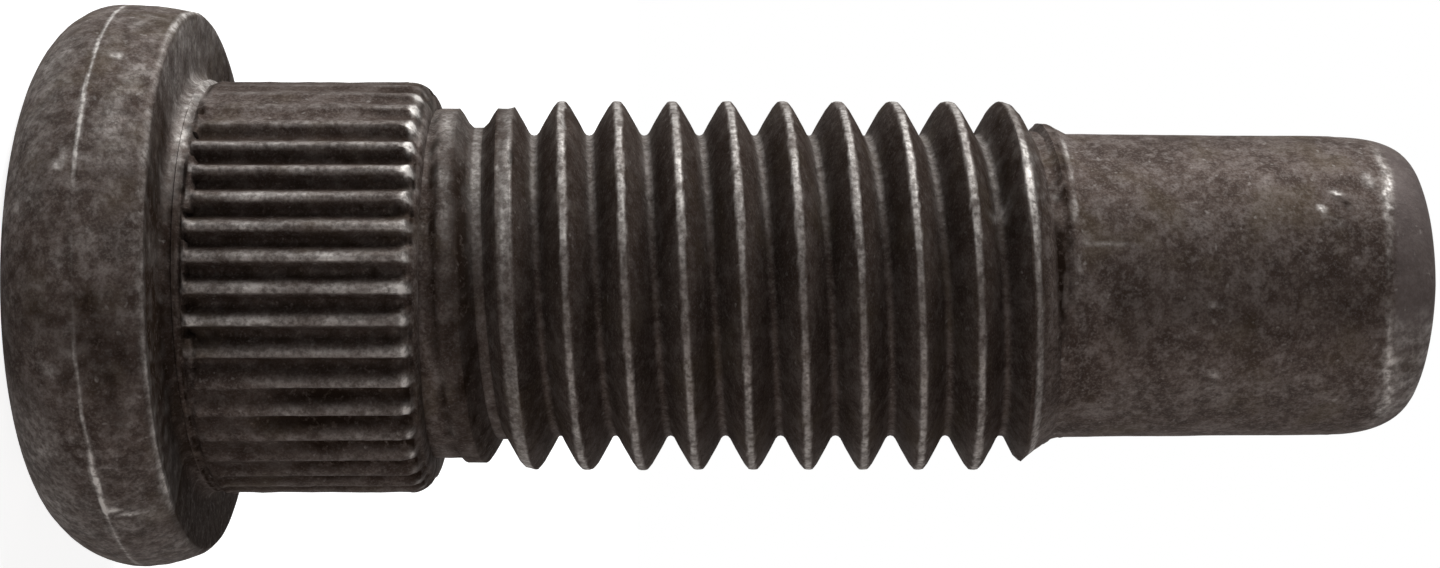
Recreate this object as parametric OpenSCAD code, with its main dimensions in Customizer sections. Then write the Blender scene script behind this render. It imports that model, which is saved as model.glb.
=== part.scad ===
// Press-in wheel stud, standing on its head with the thread upwards.
// One forged and rolled piece of steel: head, collar, serrated band, thread and plain pilot.
// The origin is at the centre of the head's outer face, and the axis of the stud is Z.

/* [Head] */
// Diameter of the head at its widest
head_d = 17.8; // [16.6:0.1:22]
// Thickness of the head, from its outer face to the face that bears on the hub
head_h = 4.55; // [3.6:0.05:7]
// Radius of the rounded crown around the outer face
crown_r = 2.55; // [1:0.05:3]
// How far the rim tapers in, on the radius, from the crown to the bearing face
rim_taper = 0.3; // [0.05:0.05:0.6]
// Bevel of the edge around the bearing face
rim_bevel = 0.14; // [0.05:0.01:0.3]

/* [Collar] */
// Diameter of the plain collar under the head
collar_d = 13; // [12.6:0.1:14.4]
// Height of the plain collar
collar_h = 0.85; // [0.5:0.05:2]
// Radius of the fillet between the bearing face and the collar
collar_fillet_r = 0.25; // [0.1:0.05:0.45]

/* [Serrations] */
// Diameter over the ribs
rib_d = 13.1; // [12.7:0.05:14.5]
// Depth of the groove between two ribs
groove_depth = 0.42; // [0.2:0.02:0.5]
// Number of ribs around the band
rib_count = 42; // [24:1:56]
// Width of the flat top of a rib
rib_top_w = 0.24; // [0.1:0.02:0.36]
// Width of the floor of a groove
groove_floor_w = 0.14; // [0.06:0.02:0.2]
// Length of the ribs, up to the rounded shoulder
rib_len = 5.7; // [3:0.1:14]
// Turn of the ribs about the axis, in degrees
rib_angle = 3.8; // [0:0.1:8]

/* [Thread] */
// Major diameter of the thread
thread_d = 11.8; // [11.4:0.05:12.2]
// Pitch of the thread
pitch = 1.75; // [1.25:0.25:2]
// Angle between the two flanks of the thread, in degrees
flank_angle = 60; // [55:1:65]
// Width of the flat on the crest
crest_w = 0.3; // [0.12:0.02:0.4]
// Width of the flat at the root
root_w = 0.17; // [0.06:0.01:0.3]
// Diameter of the blank at the shoulder, to which the first crests are cut down
neck_d = 11.3; // [10.9:0.05:11.8]
// Number of turns of the thread, with its run-in and its run-out
turns = 12.35; // [8:0.05:30]
// Angle at which the thread starts around the axis, in degrees
thread_angle = 162; // [0:1:359]

/* [Pilot] */
// Diameter of the plain pilot beyond the thread
pilot_d = 9.64; // [9.2:0.02:10]
// Length of the pilot past the end of the thread, with its rounded end
pilot_len = 10.65; // [5:0.1:20]
// Radius of the rounding at the pilot's end
nose_r = 2.1; // [1.96:0.02:3]
// Depth of that rounding along the axis, up to the flat end
nose_h = 1.92; // [0.6:0.02:1.94]

/* [Hidden] */
$fn = 96;

// Radii
head_r = head_d / 2;
collar_r = collar_d / 2;
rib_r = rib_d / 2;
groove_r = rib_r - groove_depth;
neck_r = neck_d / 2;
thread_r = thread_d / 2;
pilot_r = pilot_d / 2;

// The shoulder is a quarter round from the ribs down to a narrow ledge around the neck
ledge_w = 0.05;
shoulder_r = rib_r - neck_r - ledge_w;
ribs_z = head_h + collar_h;
shoulder_z = ribs_z + rib_len;
neck_z = shoulder_z + shoulder_r;

// The crest, the two flanks and the root share one pitch, and that sets the depth
thread_depth = (pitch - crest_w - root_w) / 2 / tan(flank_angle / 2);
flank_w = thread_depth * tan(flank_angle / 2);
root_r = thread_r - thread_depth;

// Stages of the thread, in turns from its start, which lies inside the shoulder
run_in = 1;
crest_rise_from = 2;
crest_rise_to = 2.5;
run_out = 1.4;
buried_turns = 0.9;
facets = 60;
sections = round(turns * facets);
thread_z = neck_z - buried_turns * pitch;
thread_end_z = thread_z + pitch * turns;

// The thread fades out just under the surface of the pilot, which covers its end. The pilot
// starts above the last of the crest, with a short cone inside the core of the thread.
pilot_cover = 0.03;
fade_r = pilot_r - pilot_cover;
pilot_lead = 0.3;
pilot_z = thread_end_z + crest_w + flank_w / 2;
top_z = thread_end_z + pilot_len;

// What is trimmed off the tops of the ribs
rib_trim = 0.02;

// How far the core of the collar lies inside the floors of the grooves
core_inset = 0.5;

steel = [0.33, 0.30, 0.28];

// The head: flat outer face, rounded crown, tapered rim and bevelled edge
module head() {
    rotate_extrude() {
        square([head_r - crown_r, head_h]);
        intersection() {
            translate([head_r - crown_r, crown_r]) circle(crown_r);
            square([head_r, crown_r]);
        }
        polygon([
            [0, crown_r],
            [head_r, crown_r],
            [head_r - rim_taper, head_h - rim_bevel],
            [head_r - rim_taper - rim_bevel, head_h],
            [0, head_h]
        ]);
    }
}

// The plain collar, with the fillet that carries it into the bearing face. Its core is one
// metal with the serrated band.
module collar() {
    rotate_extrude() {
        translate([0, head_h - rim_bevel]) square([collar_r, collar_h + rim_bevel]);
        translate([0, head_h - rim_bevel]) square([groove_r - core_inset, collar_h + rib_len]);
        difference() {
            translate([0, head_h - rim_bevel]) square([collar_r + collar_fillet_r, collar_fillet_r + rim_bevel]);
            translate([collar_r + collar_fillet_r, head_h + collar_fillet_r]) circle(collar_fillet_r);
        }
    }
}

function polar(r, a) = [r * cos(a), r * sin(a)];

// Outline of the band across the axis: a rib and a groove, repeated around it. The ribs stand
// a little too high here, and serrations() trims their tops to a true round.
function rib_outline() =
    let (
        step = 360 / rib_count,
        half_top = asin(rib_top_w / 2 / rib_r),
        half_floor = asin(groove_floor_w / 2 / groove_r)
    )
    [for (i = [0 : rib_count - 1]) each [
        polar(groove_r, (i - 0.5) * step + half_floor),
        polar(rib_r + rib_trim, i * step - half_top),
        polar(rib_r + rib_trim, i * step + half_top),
        polar(groove_r, (i + 0.5) * step - half_floor)
    ]];

// The serrated band, whose ribs run out over the rounded shoulder
module serrations() {
    intersection() {
        translate([0, 0, ribs_z]) rotate([0, 0, rib_angle])
            linear_extrude(height = rib_len + shoulder_r) polygon(rib_outline());
        rotate_extrude() {
            translate([0, ribs_z]) square([rib_r, rib_len]);
            translate([0, shoulder_z]) square([rib_r - shoulder_r, shoulder_r]);
            intersection() {
                translate([rib_r - shoulder_r, shoulder_z]) circle(shoulder_r);
                translate([0, shoulder_z]) square([rib_r, shoulder_r]);
            }
        }
    }
}

function clamp(t) = max(0, min(1, t));
function mix(a, b, t) = a + (b - a) * t;

// Radius of the crest: cut to the neck, then full, then down to the pilot over the run-out
function crest_at(turn) =
    let (rise = clamp((turn - crest_rise_from) / (crest_rise_to - crest_rise_from)))
    mix(fade_r, mix(neck_r, thread_r, rise), clamp((turns - turn) / run_out));

// Radius of the root: from the neck down over the run-in, and to the pilot over the last turn
function root_at(turn) =
    mix(fade_r, mix(neck_r, root_r, clamp(turn / run_in)), clamp(turns - turn));

// One corner of the thread's profile: line 0 and 1 bound the crest, line 2 and 3 the root
line_offset = [0, crest_w, crest_w + flank_w, crest_w + flank_w + root_w];
function thread_point(s, line) =
    let (
        turn = s / facets,
        p = polar(line < 2 ? crest_at(turn) : root_at(turn), thread_angle + 360 * turn)
    )
    [p[0], p[1], thread_z + pitch * turn + line_offset[line]];

function ring_point(s, r, z) =
    let (p = polar(r, thread_angle + 360 * s / facets)) [p[0], p[1], z];

// The thread as one closed skin. Line 0 runs one turn further than the others, so that the
// first and the last turn close against flat rings at the bottom and the top.
module thread() {
    lines = len(line_offset);
    long_line = sections + facets + 1;
    short_line = sections + 1;
    ring = long_line + (lines - 1) * short_line;
    top_ring = ring + facets - 1;
    points = concat(
        [for (s = [0 : sections + facets]) thread_point(s, 0)],
        [for (line = [1 : lines - 1], s = [0 : sections]) thread_point(s, line)],
        [for (s = [1 : facets - 1]) ring_point(s, neck_r, thread_z)],
        [for (s = [1 : facets - 1]) ring_point(sections + s, fade_r, thread_end_z + pitch)]
    );
    function at(s, line) =
        line == 0 ? s : line == lines ? s + facets : long_line + (line - 1) * short_line + s;
    function low(i) = i % facets == 0 ? at(0, 0) : ring + i - 1;
    function high(i) = i % facets == 0 ? at(sections + facets, 0) : top_ring + i - 1;
    faces = concat(
        [[for (i = [0 : facets - 1]) low(i)]],
        [[low(0), at(1, 0), low(1)]],
        [for (i = [1 : facets - 2]) [low(i), at(i, 0), at(i + 1, 0), low(i + 1)]],
        [[
            low(facets - 1), at(facets - 1, 0),
            for (line = [lines : -1 : 0]) at(0, line)
        ]],
        [for (s = [0 : sections - 1], line = [0 : lines - 1]) each [
            [at(s, line), at(s, line + 1), at(s + 1, line)],
            [at(s + 1, line), at(s, line + 1), at(s + 1, line + 1)]
        ]],
        [[
            at(sections + 1, 0),
            for (line = [0 : lines]) at(sections, line),
            high(1)
        ]],
        [for (i = [1 : facets - 2])
            [at(sections + i, 0), high(i), high(i + 1), at(sections + i + 1, 0)]],
        [[at(sections + facets - 1, 0), high(facets - 1), high(0)]],
        [[for (i = [facets - 1 : -1 : 0]) high(i)]]
    );
    polyhedron(points, faces, convexity = 20);
}

// The plain pilot: a true cylinder with a rounded nose and a small flat end
module pilot() {
    rotate_extrude() {
        polygon([
            [0, pilot_z],
            [pilot_r - pilot_lead, pilot_z],
            [pilot_r, pilot_z + pilot_lead],
            [pilot_r, top_z - nose_h],
            [0, top_z - nose_h]
        ]);
        intersection() {
            translate([0, top_z - nose_h]) square([pilot_r, nose_h]);
            union() {
                translate([0, top_z - nose_h]) square([pilot_r - nose_r, nose_h]);
                translate([pilot_r - nose_r, top_z - nose_h]) circle(nose_r);
            }
        }
    }
}

module wheel_stud() {
    color(steel) union() {
        head();
        collar();
        serrations();
        thread();
        pilot();
    }
}

wheel_stud();
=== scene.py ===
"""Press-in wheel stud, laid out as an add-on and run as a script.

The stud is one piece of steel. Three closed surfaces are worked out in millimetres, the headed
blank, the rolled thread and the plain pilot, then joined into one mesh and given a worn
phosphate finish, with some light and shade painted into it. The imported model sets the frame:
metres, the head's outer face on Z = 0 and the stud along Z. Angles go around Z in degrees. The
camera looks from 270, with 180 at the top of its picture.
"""

import math
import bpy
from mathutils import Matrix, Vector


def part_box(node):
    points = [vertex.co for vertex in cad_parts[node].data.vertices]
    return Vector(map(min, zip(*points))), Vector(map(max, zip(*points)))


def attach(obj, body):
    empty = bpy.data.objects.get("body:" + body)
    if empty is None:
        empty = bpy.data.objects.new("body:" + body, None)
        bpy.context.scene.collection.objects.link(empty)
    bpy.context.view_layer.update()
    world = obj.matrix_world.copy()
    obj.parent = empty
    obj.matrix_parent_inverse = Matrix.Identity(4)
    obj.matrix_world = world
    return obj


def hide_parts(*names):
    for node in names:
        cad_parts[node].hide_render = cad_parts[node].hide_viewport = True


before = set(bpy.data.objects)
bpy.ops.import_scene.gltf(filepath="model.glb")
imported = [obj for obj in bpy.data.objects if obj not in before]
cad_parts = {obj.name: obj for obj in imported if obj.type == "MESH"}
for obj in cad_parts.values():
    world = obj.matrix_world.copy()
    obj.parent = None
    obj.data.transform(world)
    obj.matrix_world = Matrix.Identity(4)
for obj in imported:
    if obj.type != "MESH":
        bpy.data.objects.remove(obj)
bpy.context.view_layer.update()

from types import SimpleNamespace

import bpy
import numpy as np
from mathutils import Matrix, Vector, noise

bl_info = {
    "name": "Wheel Stud Maker",
    "version": (1, 0, 0),
    "blender": (4, 5, 0),
    "location": "3D View > Sidebar > Wheel Stud",
    "description": "Builds a worn press-in wheel stud with its finish and a small studio",
    "category": "Mesh",
}

MM = 0.001
BODY = "root"
NODE = "wheel_stud"
SLOT = "phosphated_steel"
PIECE = "stud_body"

stud_low, stud_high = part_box(NODE)
HEAD_R = (stud_high[0] - stud_low[0]) / 2 / MM
STUD_LENGTH = (stud_high[2] - stud_low[2]) / MM


def length(name, text, millimetres):
    """A size that a user would change, kept in metres."""
    return bpy.props.FloatProperty(
        name=name, description=text, default=millimetres * MM, min=0.0,
        precision=5, unit="LENGTH", subtype="DISTANCE",
    )


def turn(name, text, degrees):
    """An angle that a user would change."""
    return bpy.props.FloatProperty(
        name=name, description=text, default=math.radians(degrees),
        unit="ROTATION", subtype="ANGLE",
    )


def colour(name, text, value):
    """A colour that a user would change."""
    return bpy.props.FloatVectorProperty(
        name=name, description=text, default=value, size=3, min=0.0, max=1.0, subtype="COLOR"
    )


def level(name, text, value, top=1.0):
    """A plain number that a user would change."""
    return bpy.props.FloatProperty(name=name, description=text, default=value, min=0.0, max=top)


class BlankSizes(bpy.types.PropertyGroup):
    """Head, collar and serrated band."""

    head_radius: length("Head radius", "Radius of the head at its widest", HEAD_R)
    head_height: length("Head height", "From the outer face to the bearing face", 4.55)
    crown_radius: length("Crown radius", "Rounding around the outer face", 2.55)
    rim_taper: length("Rim taper", "How far the rim tapers in towards the bearing face", 0.3)
    rim_bevel: length("Rim bevel", "Bevel of the edge around the bearing face", 0.14)
    head_tilt: length("Head tilt", "How far the forged head leans at its rim", 0.25)
    collar_radius: length("Collar radius", "Radius of the plain collar", 6.5)
    collar_height: length("Collar height", "Height of the plain collar", 0.85)
    fillet_radius: length("Fillet radius", "Fillet between head and collar", 0.32)
    rib_radius: length("Rib radius", "Radius over the ribs", 6.55)
    groove_depth: length("Groove depth", "Depth of the grooves between the ribs", 0.42)
    rib_length: length("Rib length", "Length of the ribs up to the shoulder", 5.7)
    shoulder_radius: length("Shoulder radius", "Rounding at the end of the ribs", 0.85)
    rib_count: bpy.props.IntProperty(
        name="Ribs", description="Number of ribs around the band", default=42, min=12
    )
    rib_turn: turn("Rib turn", "Turn of the ribs about the axis", 4.1)


class ThreadSizes(bpy.types.PropertyGroup):
    """The rolled thread."""

    major_radius: length("Major radius", "Radius over the crests", 5.9)
    root_radius: length("Root radius", "Radius at the roots", 4.79)
    neck_radius: length("Neck radius", "Radius to which the first crests are cut", 5.65)
    pitch: length("Pitch", "Distance between two crests", 1.75)
    crest_width: length("Crest width", "Width of the flat on the crest", 0.3)
    start_height: length("Start", "Height at which the thread starts, inside the shoulder", 10.375)
    turns: level("Turns", "Turns of the thread with its run-in and run-out", 12.35, 40.0)
    start_turn: turn("Start angle", "Angle about the axis at which the thread starts", 162)


class PilotSizes(bpy.types.PropertyGroup):
    """The plain pilot beyond the thread."""

    start_height: length("Start", "Height at which the pilot's surface starts", 31.2)
    radius: length("Pilot radius", "Radius beside the thread", 4.845)
    end_radius: length("End radius", "Radius where the rounded end starts", 4.775)
    flat_radius: length("Flat radius", "Radius of the flat end", 3.86)
    nose_height: length("Nose height", "Depth of the rounding along the axis", 2.3)
    nose_tilt: length("Nose tilt", "How far the end was rolled lower on one side", 0.12)


class Finish(bpy.types.PropertyGroup):
    """Colours of the worn phosphate coat."""

    coat: colour("Coat", "Phosphate coat", (0.097, 0.073, 0.063))
    coat_pale: colour("Pale coat", "Thin and dusty places of the coat", (0.195, 0.165, 0.152))
    coat_dark: colour("Dark coat", "Dense places of the coat", (0.042, 0.029, 0.024))
    coat_even: colour("Even coat", "Smooth coat on the rounded end", (0.120, 0.098, 0.094))
    # The grime colour also paints shade
    grime_and_shade: colour("Grime", "Oil and soot in grooves and roots", (0.022, 0.014, 0.010))
    oil: colour("Old oil", "Thin brown film of dried oil", (0.088, 0.066, 0.040))
    # The bare steel colour also paints highlights
    steel: colour("Bare steel", "Metal that shines through on crests and edges", (0.54, 0.50, 0.47))


class Studio(bpy.types.PropertyGroup):
    """Light and backdrop."""

    key: level("Key light", "Strength of the broad light above", 3.8, 10.0)
    fill: level("Fill light", "Strength of the light below", 0.88, 10.0)
    ambient: level("Ambient", "Light from all around", 0.05, 2.0)
    floor: colour("Floor", "Colour of the floor", (0.80, 0.80, 0.80))


def in_mm(group):
    """The values of a group, with lengths in millimetres and angles in degrees."""
    values = {}
    for prop in group.bl_rna.properties:
        if prop.identifier in ("rna_type", "name"):
            continue
        value = getattr(group, prop.identifier)
        if prop.unit == "LENGTH":
            value = value / MM
        if prop.unit == "ROTATION":
            value = math.degrees(value)
        values[prop.identifier] = value
    return SimpleNamespace(**values)


def smooth(low, high, value):
    """Rises from 0 at low to 1 at high without corners, or falls where low is the greater."""
    t = np.clip((value - low) / (high - low), 0, 1)
    return t * t * (3 - 2 * t)


def window(value, start, full, fade, end):
    """Rises from 0 at start to 1 at full, and falls again from fade to end."""
    return smooth(start, full, value) * smooth(end, fade, value)


def hump(value, centre, width):
    """A bell around a centre, which is 1 there and small beyond the width."""
    return np.exp(-((value - centre) / width) ** 2)


def angle_from(angle, centre):
    """Signed difference between two angles, in degrees."""
    return (angle - centre + 180) % 360 - 180


# How far the noise moves from one seed to the next
SEED_STEP = (7.3, 3.1, 5.7)


def grain(points, size, seed):
    """Smooth noise of about -1 to 1 with lumps of the given size."""
    offset = Vector([seed * step for step in SEED_STEP])
    return np.array([noise.noise(Vector(point) / size + offset) for point in points])


def rough(points, size, seed, octaves=3):
    """Noise with finer and finer lumps, from a size down."""
    total = np.zeros(len(points))
    for octave in range(octaves):
        total += grain(points, size / 2**octave, seed + octave) / 2**octave
    return total


def polar(radius, angle, height):
    """Points from radius, angle in degrees and height, each one value or many."""
    radius, radians, height = np.broadcast_arrays(radius, np.radians(angle), height)
    return np.stack([radius * np.cos(radians), radius * np.sin(radians), height], axis=-1)


def make_object(name, points, faces):
    """A mesh object from points in millimetres."""
    mesh = bpy.data.meshes.new(name)
    mesh.from_pydata((np.asarray(points) * MM).tolist(), [], faces)
    mesh.validate()
    obj = bpy.data.objects.new(name, mesh)
    bpy.context.scene.collection.objects.link(obj)
    return obj


def lathe(name, rows):
    """A closed surface from rings of points. The first and the last ring are single points."""
    count = len(rows[1])
    points = np.concatenate(rows)
    last = len(points) - 1
    faces = [(0, 1 + (i + 1) % count, 1 + i) for i in range(count)]
    for row in range(len(rows) - 3):
        low = 1 + row * count
        for i in range(count):
            j = (i + 1) % count
            faces.append((low + i, low + j, low + count + j, low + count + i))
    low = 1 + (len(rows) - 3) * count
    faces += [(low + i, low + (i + 1) % count, last) for i in range(count)]
    return make_object(name, points, faces)


# The headed blank

# Rings of the head, as shares of their stretch or as degrees on an arc
FACE_RINGS = (0.12, 0.35, 0.57, 0.77, 0.92)
CROWN_RINGS = (*np.linspace(0, 80, 21), 84, 86, 88, 90)
RIM_RINGS = (0.03, 0.06, 0.09, 0.13, *np.linspace(0.2, 1, 12))
SEAT_RINGS = (0, 0.04, *np.linspace(0.1, 1, 9))
FILLET_RINGS = (30, 60, 90)
SHOULDER_RINGS = range(0, 91, 5)
# Rings around the foot of the ribs, as heights above it, then evenly spaced ones from the first
# height above the foot to the last below the shoulder
COLLAR_RINGS = (-0.5, -0.42, -0.36, -0.3, *np.arange(-0.25, 0.26, 0.05))
FIRST_RIB_RING = 0.34
LAST_RIB_RING = -0.05
RIB_RINGS = 18

# How much crown, taper and bevel differ between the upper and the lower side
CROWN_SKEW = 0.06
TAPER_SKEW = 0.3
BEVEL_SKEW = 0.3
# Where the forged head leans most, how much it still leans at its seat, and where that ends
LEAN_MOST_Z = 2.6
LEAN_AT_SEAT = 0.6
LEAN_FADE = 0.7

# Places across a rib, and how far it rises there, gently on one side and steeply on the other
RIB_PHASES = (-0.43, -0.34, -0.24, -0.16, -0.1, 0.0, 0.1, 0.16, 0.24, 0.34, 0.43, 0.5)
RIB_RISE = (0.03, 0.20, 0.45, 0.65, 0.79, 0.96, 1.0, 0.93, 0.55, 0.12, 0.0, 0.0)
# How uneven the ribs are: how far each is worn, and where each starts from its foot
RIB_SEED = 11
RIB_WEAR = 0.012
RIB_WEAR_SPREAD = 0.012
RIB_START = -0.16
RIB_START_SPREAD = (-0.12, 0.16)
# A rib that is worn by more than this has a knob at its start
KNOB_WEAR = 0.018
RIB_KNOB = 0.05
RIB_DRIFT = 2.0
DRIFT_MIDDLE = 14.4
BAND_SHIFT = 0.06
UPPER_SIDE = 180
# How much of a groove is left, by its distance from the upper side in degrees
GROOVE_LEFT = ([30, 36, 42, 48, 56], [0.10, 0.22, 0.5, 0.82, 1.0])

# A low ridge and a groove on the collar, and a torn ring on the shoulder
COLLAR_BULGE = 0.05
BULGE_Z = -0.5
BULGE_WIDTH = 0.1
COLLAR_GAP = 0.10
GAP_Z = -0.30
GAP_WIDTH = 0.07
END_RING_DEPTH = 0.13
END_RING_Z = 0.66
END_RING_WIDTH = 0.07
# How far inside the rounded shoulder the blank ends, within the thread
CORE_INSET = 0.6

# Pits of the head and torn places of the shoulder: angle, height, size and depth
HEAD_PITS = (
    (236, 3.75, 0.16, 0.09), (229, 4.05, 0.10, 0.07), (214, 1.7, 0.22, 0.05),
    (250, 3.1, 0.12, 0.05), (262, 4.2, 0.13, 0.06), (203, 3.4, 0.14, 0.06),
    (285, 1.4, 0.2, 0.04), (301, 3.6, 0.15, 0.05), (318, 2.2, 0.12, 0.05),
    (332, 4.1, 0.12, 0.07), (222, 2.9, 0.09, 0.06), (276, 2.2, 0.1, 0.04),
    (40, 2.0, 0.2, 0.06), (95, 3.4, 0.14, 0.06), (150, 1.6, 0.18, 0.05),
)
SHOULDER_PITS = (
    (198, 11.82, 0.22, 0.16), (203, 12.0, 0.16, 0.12), (241, 12.02, 0.16, 0.10),
    (228, 11.95, 0.12, 0.09), (250, 11.9, 0.14, 0.08), (216, 11.86, 0.13, 0.09),
    (268, 11.98, 0.14, 0.06), (305, 11.9, 0.15, 0.07), (60, 11.9, 0.2, 0.1),
)


def ribs_foot(sizes):
    """Height at which the collar ends and the ribs start."""
    return sizes.head_height + sizes.collar_height


def shoulder_foot(sizes):
    """Height at which the ribs end and the rounded shoulder starts."""
    return ribs_foot(sizes) + sizes.rib_length


def crown_start(sizes):
    """Radius at which the flat outer face ends and the crown starts."""
    return sizes.head_radius - sizes.crown_radius


def rib_drift(angle):
    """The ribs are not spaced quite evenly: they drift by this angle, twice around."""
    return RIB_DRIFT * np.cos(np.radians(angle - DRIFT_MIDDLE)) ** 2


def band_shift(sizes, height):
    """The ribbed band was rolled a little off the axis."""
    return BAND_SHIFT * smooth(sizes.head_height + 0.3, ribs_foot(sizes), height)


def rib_phase(sizes, angle):
    """Place across a rib: 0 at its middle and half a step away in the groove."""
    even = angle - rib_drift(angle - rib_drift(angle))
    step = 360 / sizes.rib_count
    return (even - sizes.rib_turn + step / 2) % step / step - 0.5


def head_lean(sizes, angle, height):
    """The head was struck a little out of square, and the collar takes that up again."""
    foot = ribs_foot(sizes)
    heights = [0, LEAN_MOST_Z, sizes.head_height, foot, foot + LEAN_FADE]
    lean = np.interp(height, heights, [0, 1, LEAN_AT_SEAT, LEAN_AT_SEAT, 0])
    return sizes.head_tilt * lean * np.cos(np.radians(angle))


def rim_line_z(sizes, angle):
    """Height of the line that the die left where the crown meets the rim."""
    line = sizes.crown_radius + 0.10
    return line + head_lean(sizes, angle, line)


def pit_depth(pits, angle, height, radius):
    """How deep the pits go at each point of a ring."""
    depth = np.zeros(len(angle))
    for pit_angle, pit_z, size, deepest in pits:
        across = np.radians(angle_from(angle, pit_angle)) * radius
        depth += deepest * np.exp(-(across**2 + (height - pit_z) ** 2) / size**2)
    return depth


def head_stations(sizes, side):
    """Radius and height of each ring of the head, from its outer face to the collar. The side is
    1 at the bottom of the camera's picture and -1 at its top."""
    face_radius = crown_start(sizes)
    stations = [(face_radius * part, 0.0) for part in FACE_RINGS]
    for degrees in CROWN_RINGS:
        arc = math.radians(degrees)
        fuller = -CROWN_SKEW * side * math.sin(2 * arc)
        height = sizes.crown_radius * (1 - math.cos(arc)) - fuller * math.cos(arc)
        stations.append((
            face_radius + sizes.crown_radius * math.sin(arc) + fuller * math.sin(arc),
            np.maximum(height, 0),
        ))
    bevel = sizes.rim_bevel * (1 + BEVEL_SKEW * side)
    taper = sizes.rim_taper * (1 + TAPER_SKEW * side)
    for part in RIM_RINGS:
        stations.append((
            sizes.head_radius - taper * part**2,
            sizes.crown_radius + (sizes.head_height - bevel - sizes.crown_radius) * part,
        ))
    seat = sizes.head_radius - taper - bevel
    foot = sizes.collar_radius + sizes.fillet_radius
    stations.append((seat + 0.3 * bevel, sizes.head_height - 0.25 * bevel))
    stations += [(seat + (foot - seat) * part, sizes.head_height) for part in SEAT_RINGS]
    for degrees in FILLET_RINGS:
        arc = math.radians(degrees)
        stations.append((
            foot - sizes.fillet_radius * math.sin(arc),
            sizes.head_height + sizes.fillet_radius * (1 - math.cos(arc)),
        ))
    return stations


def blank_rows(sizes):
    """Rings of the headed blank, from the middle of the outer face to the end of the shoulder."""
    step = 360 / sizes.rib_count
    ribs = range(sizes.rib_count)
    angles = np.array([
        sizes.rib_turn + (rib + phase) * step for rib in ribs for phase in RIB_PHASES
    ])
    angles = angles + rib_drift(angles)
    rows = [np.array([[0.0, 0.0, 0.0]])]
    for radius, height in head_stations(sizes, np.cos(np.radians(angles))):
        rows.append(polar(radius, angles, height + head_lean(sizes, angles, height)))
    roughen_head(sizes, rows)
    rng = np.random.default_rng(RIB_SEED)
    starts = ribs_foot(sizes) + RIB_START + rng.uniform(*RIB_START_SPREAD, sizes.rib_count)
    tops = sizes.rib_radius - RIB_WEAR - abs(rng.normal(0, RIB_WEAR_SPREAD, sizes.rib_count))
    starts = np.repeat(starts, len(RIB_PHASES))
    tops = np.repeat(tops, len(RIB_PHASES))
    rise = np.tile(RIB_RISE, sizes.rib_count)
    rows += band_rows(sizes, angles, rise, starts, tops)
    rows += shoulder_rows(sizes, angles, rise, tops)
    return rows


def roughen_head(sizes, rows):
    """Forging texture, pits and the die's line, pressed into the rings beyond the flat face."""
    for number in range(1 + len(FACE_RINGS), len(rows)):
        row = rows[number]
        height = row[:, 2]
        if height[0] > sizes.head_height + 0.3:
            continue
        radius = np.hypot(row[:, 0], row[:, 1])
        angle = np.degrees(np.arctan2(row[:, 1], row[:, 0])) % 360
        dip = 0.02 * rough(row, 1.6, 20) + 0.012 * grain(row, 0.3, 24) - 0.015
        dip -= pit_depth(HEAD_PITS, angle, height, radius)
        dip += 0.03 * hump(height, rim_line_z(sizes, angle), 0.06) * (0.5 + grain(row, 1.1, 28))
        on_rim = smooth(crown_start(sizes), sizes.head_radius - 0.4, radius)
        radius = np.minimum(radius + dip * on_rim, sizes.head_radius)
        rows[number] = polar(radius, angle, height)


def groove_share(angle, height, lumps):
    """How much of each groove is left. The press fit rubbed the ribs flat on the upper side and
    pushed metal into the first grooves below the middle, seen from the camera's side."""
    left = np.interp(abs(angle_from(angle, UPPER_SIDE)), *GROOVE_LEFT)
    left = left + (1 - left) * 0.3 * smooth(9.4, 10.8, height)
    below = window(angle, 288, 296, 308, 318) * smooth(8.4, 6.8, height + lumps)
    low = smooth(306, 316, angle) * (0.35 + 0.4 * smooth(9.0, 7.4, height + lumps))
    return left * (1 - 0.72 * below) * (1 - low)


def band_rows(sizes, angles, rise, starts, tops):
    """Rings of the collar and of the ribs, each rib with its own start and height."""
    foot = ribs_foot(sizes)
    heights = [foot + up for up in COLLAR_RINGS]
    last = shoulder_foot(sizes) + LAST_RIB_RING
    heights += list(np.linspace(foot + FIRST_RIB_RING, last, RIB_RINGS))
    rows = []
    for height in heights:
        points = polar(sizes.rib_radius, angles, height + head_lean(sizes, angles, height))
        share = groove_share(angles, height, 0.5 * grain(points, 1.4, 3))
        depth = sizes.groove_depth * (1 - rise) * share
        wander = 0.014 * grain(points, 0.8, 5) + 0.02 * (1 - share) * grain(points, 0.4, 8)
        ribbed = tops - depth + wander * (0.4 + rise)
        knob = RIB_KNOB * rise * hump(height, starts - RIB_START, 0.12)
        knob *= sizes.rib_radius - tops > KNOB_WEAR
        gap = COLLAR_GAP * hump(height, foot + GAP_Z, GAP_WIDTH)
        gap = gap * (0.6 + 1.3 * grain(points, 0.6, 9))
        collar = sizes.collar_radius + COLLAR_BULGE * hump(height, foot + BULGE_Z, BULGE_WIDTH)
        collar = collar - gap + 0.014 * grain(points, 0.5, 10)
        cut = smooth(0, 0.1, height - starts)
        row = polar(collar + (ribbed + knob - collar) * cut, angles, points[:, 2])
        row[:, 0] += band_shift(sizes, height)
        rows.append(row)
    return rows


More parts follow.
